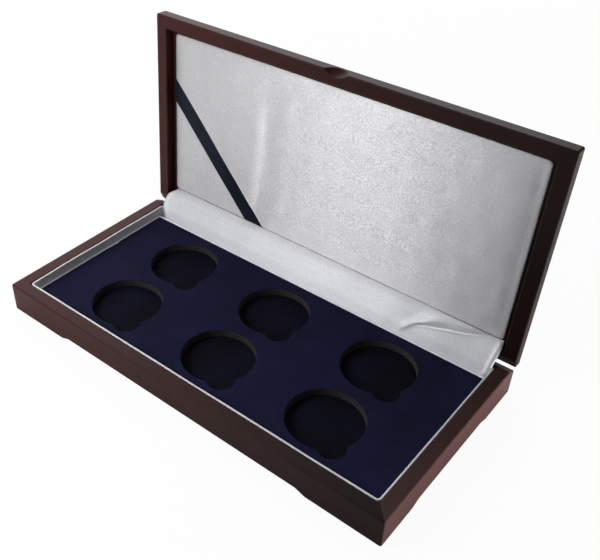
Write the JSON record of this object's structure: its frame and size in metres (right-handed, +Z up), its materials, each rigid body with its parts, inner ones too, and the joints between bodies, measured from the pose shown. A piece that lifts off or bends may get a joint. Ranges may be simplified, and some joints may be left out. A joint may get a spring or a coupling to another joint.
{
  "type": "coin display case",
  "caption": "Shallow hinged wooden display case standing open, with a velvet-faced foam insert of round pockets with thumb notches, bracket feet, and a satin-lined lid with a corner ribbon.",
  "frame": {"origin": "middle of the open case's bounding box, on the plane of its feet", "axes": "+X along the case's length, to the right as seen from the front; +Y from the front to the hinge side; +Z up"},
  "size_m": [0.3, 0.1626, 0.1667],
  "materials": {
    "lacquered_wood": "gloss",
    "white_satin": "satin",
    "backing_card": "matte",
    "navy_velvet": "matte",
    "dark_foam": "matte",
    "navy_ribbon": "satin",
    "hinge_brass": "satin"
  },
  "bodies": {
    "base": {"base_front_rail": "lacquered_wood", "base_rear_rail": "lacquered_wood", "base_left_rail": "lacquered_wood", "base_right_rail": "lacquered_wood", "base_floor_panel": "lacquered_wood", "wall_liner": "white_satin", "insert_backing_board": "backing_card", "insert_pocket_velvet": "navy_velvet", "insert_foam": "dark_foam", "insert_top_velvet": "navy_velvet", "insert_edge_band": "white_satin", "hinge_left_base_leaf": "hinge_brass", "hinge_right_base_leaf": "hinge_brass", "hinge_left_pin": "hinge_brass", "hinge_right_pin": "hinge_brass", "hinge_cloth": "white_satin"},
    "lid": {"lid_front_rail": "lacquered_wood", "lid_rear_rail": "lacquered_wood", "lid_left_rail": "lacquered_wood", "lid_right_rail": "lacquered_wood", "lid_top_panel": "lacquered_wood", "lid_liner_card": "backing_card", "lid_liner_pad": "white_satin", "lid_ribbon": "navy_ribbon", "hinge_left_lid_leaf": "hinge_brass", "hinge_right_lid_leaf": "hinge_brass"}
  },
  "joints": [
    {"name": "lid_hinge", "type": "hinge", "parent": "base", "child": "lid", "pos_m": [0, 0.06462, 0.0211], "axis": [1, 0, 0], "range_deg": [0, 93], "deforming": ["hinge_cloth"]}
  ]
}
